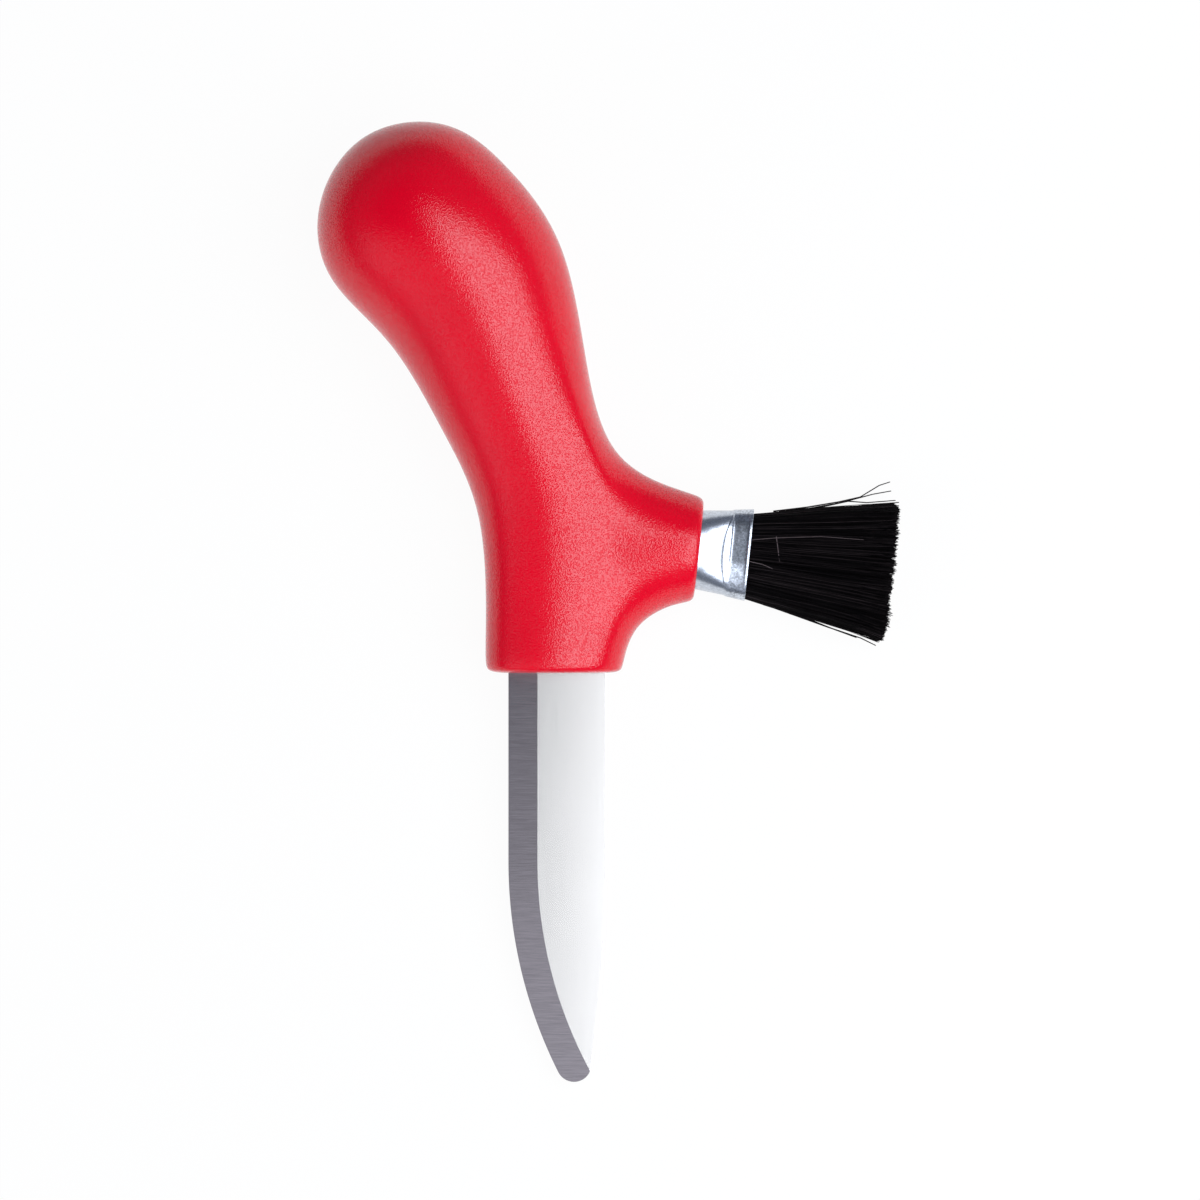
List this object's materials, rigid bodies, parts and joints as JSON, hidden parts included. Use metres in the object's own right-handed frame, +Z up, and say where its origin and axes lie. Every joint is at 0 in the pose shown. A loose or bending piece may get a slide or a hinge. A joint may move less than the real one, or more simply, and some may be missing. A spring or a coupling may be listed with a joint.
{
  "type": "mushroom knife",
  "caption": "Mushroom knife with a short curved steel blade and a flat cleaning brush in a metal ferrule, both set in one bent, bulb-ended moulded plastic handle.",
  "frame": {"origin": "on the table that the knife lies on, under the middle of its box", "axes": "+Y from the blade's tip to the handle's round end, +X to the brush, +Z up from the table; the knife lies as it comes to rest, tipped about 5 degrees by its thick round end and rolled about 5 degrees onto the nose"},
  "size_m": [0.0994, 0.1644, 0.034],
  "materials": {
    "handle_plastic": "red moulded polypropylene with a fine spark-eroded grain",
    "blade_steel": "stainless steel, polished flats and a ground bevel with fine lines across it",
    "ferrule_metal": "bright tin-plated sheet, pressed flat at the mouth",
    "setting_resin": "cast brown resin, hidden inside the ferrule",
    "bristle_hair": "black hair, slightly glossy along its length"
  },
  "bodies": {
    "root": {"handle": "handle_plastic", "blade": "blade_steel", "brush_ferrule": "ferrule_metal", "brush_setting": "setting_resin", "bristles_1": "bristle_hair", "bristles_2": "bristle_hair", "bristles_3": "bristle_hair", "bristles_4": "bristle_hair"}
  },
  "joints": []
}
